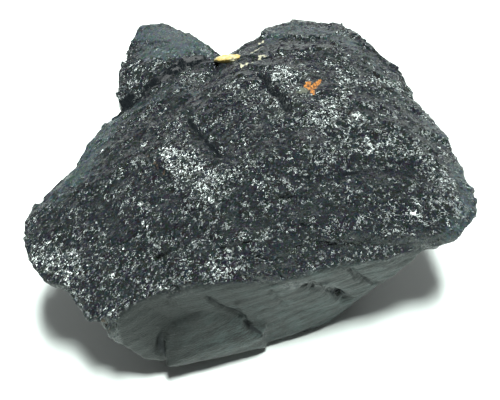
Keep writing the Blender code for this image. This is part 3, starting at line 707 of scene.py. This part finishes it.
def buildStone():
    directions, faces, foot = boxGrid()
    base = directions * stoneReach(directions)[:, None] + stoneForm["heart"]
    normals = surfaceNormals(base, faces)
    torn = np.clip(bandSum(base, stoneZones["brokenPatches"]), 0, 1)
    parting = partingShare(base, normals) * (1 - torn)
    wavelength, spread, seed = stoneZones["dullPatches"]
    patches = np.clip(stoneZones["dullMean"] + spread * swell(base, wavelength, seed), 0, 1)
    turned = np.interp(normals[:, 1], stoneZones["dullFacing"], (0, 1)) * patches
    dull = np.clip(np.maximum(turned, bandSum(base, stoneZones["dullBands"])), 0, 1)
    points = base + normals * reliefHeight(base, normals, parting, dull)[:, None]
    points[:, 2] = np.maximum(points[:, 2], 0)
    low, high = (np.array(corner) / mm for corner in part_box("tourmaline"))
    print("stone: own box", points.min(axis=0).round(2), points.max(axis=0).round(2))
    print("stone: fitted to", low.round(2), high.round(2))
    points = fittedTo(points, low, high)
    stone = addMesh("schorlStone", points, faces.tolist() + foot.tolist(), True)
    addAttribute(stone, "grain", "FLOAT_VECTOR", alongGrain(points, schorlLook["cellStretch"]))
    addAttribute(stone, "streak", "FLOAT_VECTOR", alongStreaks(points))
    sparkle = stoneZones["sparkle"] + bandSum(base, stoneZones["sparkleBands"])
    sparkle += swellSum(base, stoneZones["sparklePatches"])
    # painted shade on the parting face: along X, and by height
    tone = np.interp(base[:, 0], *stoneZones["faceTone"]) * np.interp(base[:, 2], *stoneZones["paintedLowShade"])
    crack = np.clip(bandSum(base, stoneZones["darkCracks"]), 0, 1)
    sparkle = np.clip(sparkle, 0, 1)
    shares = {"parting": parting, "dull": dull, "faceTone": tone, "crack": crack, "sparkle": sparkle}
    for mark in ("flakes", "cream", "rust", "pale", "stain"):
        shares[mark] = spotShare(base, stoneZones[mark])
    for name, share in shares.items():
        addAttribute(stone, name, "FLOAT", share)
    stone.data.materials.append(schorlMaterial())
    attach(stone, "root")
    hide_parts("tourmaline")
    print("stone:", len(points), "points")


scrapForm = {
    "rows": 90,
    "around": 160,
    "half": (3.0, 1.4, 2.0),         # mm, before flattening
    "slope": (-0.14, 0.40, 0.91),    # square to the bottom of the notch it lies on
    "flatness": 0.6,
    "squareness": 0.85,              # below 1 the lump is blockier than an ellipsoid
    "lumps": [(2.2, 0.2, 5), (0.9, 0.14, 9), (0.4, 0.06, 14)],   # (wavelength, share of the size, seed)
    "yellow": (0.43, 0.31, 0.085, 1.0),
    "cream": (0.45, 0.42, 0.27, 1.0),
    "stain": (0.32, 0.15, 0.035, 1.0),
    "patchNoise": (700.0, 3.0),      # features to the metre, and detail
    "patchEdge": (0.42, 0.6),        # the noise values between which the yellow turns cream
    "speckNoise": (1600.0, 4.0),
    "speckEdge": (0.62, 0.72),       # and those between which the stain sets in
    "roughness": (0.3, 0.7, 0.45, 0.75),   # from 0.45 to 0.75 as the patches' noise goes from 0.3 to 0.7
    "bumpStrength": 0.6,
    "bumpHeight": 0.2,
}


def scrapMaterial():
    material = bpy.data.materials.new("feldsparFinish")
    material.use_nodes = True
    make, noise, ranged, blend = nodeTools(material)
    shader = material.node_tree.nodes["Principled BSDF"]
    join = material.node_tree.links.new
    place = make("ShaderNodeTexCoord").outputs["Object"]
    patches = noise(place, *scrapForm["patchNoise"])
    specks = noise(place, *scrapForm["speckNoise"])
    shade = blend(ranged(patches, *scrapForm["patchEdge"]), scrapForm["yellow"], scrapForm["cream"])
    shade = blend(ranged(specks, *scrapForm["speckEdge"]), shade, scrapForm["stain"])
    bump = make("ShaderNodeBump", Strength=scrapForm["bumpStrength"], Height=specks,
                Distance=scrapForm["bumpHeight"] * mm)
    join(shade, shader.inputs["Base Color"])
    join(bump.outputs["Normal"], shader.inputs["Normal"])
    join(ranged(patches, *scrapForm["roughness"]), shader.inputs["Roughness"])
    return material


def buildScrap():
    # an ellipsoid on rows from pole to pole, each part of its unit direction raised to a power; it is
    # flattened along the slope's direction, and lumps push it in and out
    low, high = (np.array(corner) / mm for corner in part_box("feldspar_scrap"))
    rows, around = scrapForm["rows"], scrapForm["around"]
    tilts, turns = np.pi * np.arange(1, rows) / rows, 2 * np.pi * np.arange(around) / around
    tilt, turn = np.meshgrid(tilts, turns, indexing="ij")
    ring = np.stack([np.sin(tilt) * np.cos(turn), np.sin(tilt) * np.sin(turn), np.cos(tilt)], axis=-1)
    ring = ring.reshape(-1, 3)
    unit = np.concatenate([ring, [(0, 0, 1), (0, 0, -1)]])
    shape = np.sign(unit) * np.abs(unit) ** scrapForm["squareness"] * scrapForm["half"]
    slope = np.array(scrapForm["slope"])
    shape -= scrapForm["flatness"] * np.outer(shape @ slope, slope)
    lumps = swellSum(shape, scrapForm["lumps"])
    points = fittedTo(shape * (1 + lumps)[:, None], low, high)
    i, j = np.meshgrid(np.arange(rows - 2), np.arange(around), indexing="ij")
    corner, beside = (i * around + j).ravel(), (i * around + (j + 1) % around).ravel()
    quads = np.stack([corner, corner + around, beside + around, beside], axis=1).tolist()
    last, top, bottom = (rows - 2) * around, len(ring), len(ring) + 1
    k = np.arange(around)
    caps = np.concatenate([np.stack([np.full(around, top), k, (k + 1) % around], axis=1),
                           np.stack([np.full(around, bottom), last + (k + 1) % around, last + k], axis=1)])
    scrap = addMesh("feldsparScrap", points, quads + caps.tolist(), True)
    scrap.data.materials.append(scrapMaterial())
    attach(scrap, "root")
    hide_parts("feldspar_scrap")
    print("scrap:", len(points), "points")


studio = {
    "viewUp": 52.0,               # camera height above the horizon, degrees
    "viewDistance": 240.0,
    "aim": (-0.35, -4.1, 16.3),   # the point the camera looks at
    "lens": 87.48,
    "clipStart": 0.01,            # metres
    "keyLean": (0.066, -0.05, 1.0),   # the way from the stone to the panel
    "keyDistance": 2.0,           # metres
    "keySize": (0.34, 0.61),      # a long panel over the stone, metres along X and Y
    "keyPower": 100.0,            # watts
    "keyColour": (0.94, 1.0, 0.97),
    "floorColour": (0.80, 0.85, 0.825, 1.0),
    "floorRoughness": 0.9,
    "floorSpecular": 0.1,
    "sweepSize": (2.8, 1.2),      # the white backdrop's bend behind the stone, metres
    "sweepPlace": (0.35, 2.2, 0.75),
    "sweepTilt": 0.8,             # of a right angle
    "sweepPower": 25.0,
    "horizon": 0.6,               # brightness of the surroundings low down and overhead
    "overhead": 0.06,
    "horizonBand": (0.05, 0.4),   # where the one turns into the other, as the height of a unit direction
    "floorHalf": 3.0,             # half the floor's width, metres
}


def addPanel(name, size, power, place, turn):
    panel = bpy.data.objects.new(name, bpy.data.lights.new(name, "AREA"))
    panel.data.shape = "RECTANGLE"
    panel.data.size, panel.data.size_y = size
    panel.data.energy = power
    panel.location = place
    panel.rotation_euler = turn
    bpy.context.scene.collection.objects.link(panel)
    return panel


def buildStudio():
    floor = addMesh("floor", np.array([(-1, -1, 0), (1, -1, 0), (1, 1, 0), (-1, 1, 0)], dtype=float)
                    * studio["floorHalf"] / mm, [[0, 1, 2, 3]], False)
    paper = bpy.data.materials.new("floorPaper")
    paper.use_nodes = True
    finish = paper.node_tree.nodes["Principled BSDF"].inputs
    finish["Base Color"].default_value = studio["floorColour"]
    finish["Roughness"].default_value = studio["floorRoughness"]
    finish["Specular IOR Level"].default_value = studio["floorSpecular"]
    floor.data.materials.append(paper)

    up = math.radians(studio["viewUp"])
    aim = np.array(studio["aim"]) * mm
    eye = aim + studio["viewDistance"] * mm * np.array([0, -math.cos(up), math.sin(up)])
    camera = bpy.data.objects.new("camera", bpy.data.cameras.new("camera"))
    camera.data.lens = studio["lens"]
    camera.data.clip_start = studio["clipStart"]
    camera.location = eye
    camera.rotation_euler = (math.pi / 2 - up, 0, 0)
    bpy.context.scene.collection.objects.link(camera)
    bpy.context.scene.camera = camera

    lean = np.array(studio["keyLean"])
    place = lean / np.linalg.norm(lean) * studio["keyDistance"]
    key = addPanel("key", studio["keySize"], studio["keyPower"], place,
                   (math.atan(-lean[1]), math.atan(lean[0]), 0))
    key.data.color = studio["keyColour"]
    addPanel("sweep", studio["sweepSize"], studio["sweepPower"], studio["sweepPlace"],
             (math.pi / 2 * studio["sweepTilt"], 0, math.pi))

    world = bpy.data.worlds.new("surround")
    world.use_nodes = True
    make = nodeTools(world)[0]
    background = world.node_tree.nodes["Background"].inputs
    direction = make("ShaderNodeTexCoord").outputs["Generated"]
    height = make("ShaderNodeSeparateXYZ", None, direction).outputs["Z"]
    fall = make("ShaderNodeMapRange", {"interpolation_type": "SMOOTHSTEP"}, height,
                *studio["horizonBand"], studio["horizon"], studio["overhead"])
    world.node_tree.links.new(fall.outputs["Result"], background["Strength"])
    background["Color"].default_value = (1, 1, 1, 1)
    bpy.context.scene.world = world
    bpy.context.scene.view_settings.view_transform = "Standard"
    print("studio: camera", [round(v, 3) for v in eye])


buildStudio()
buildStone()
buildScrap()
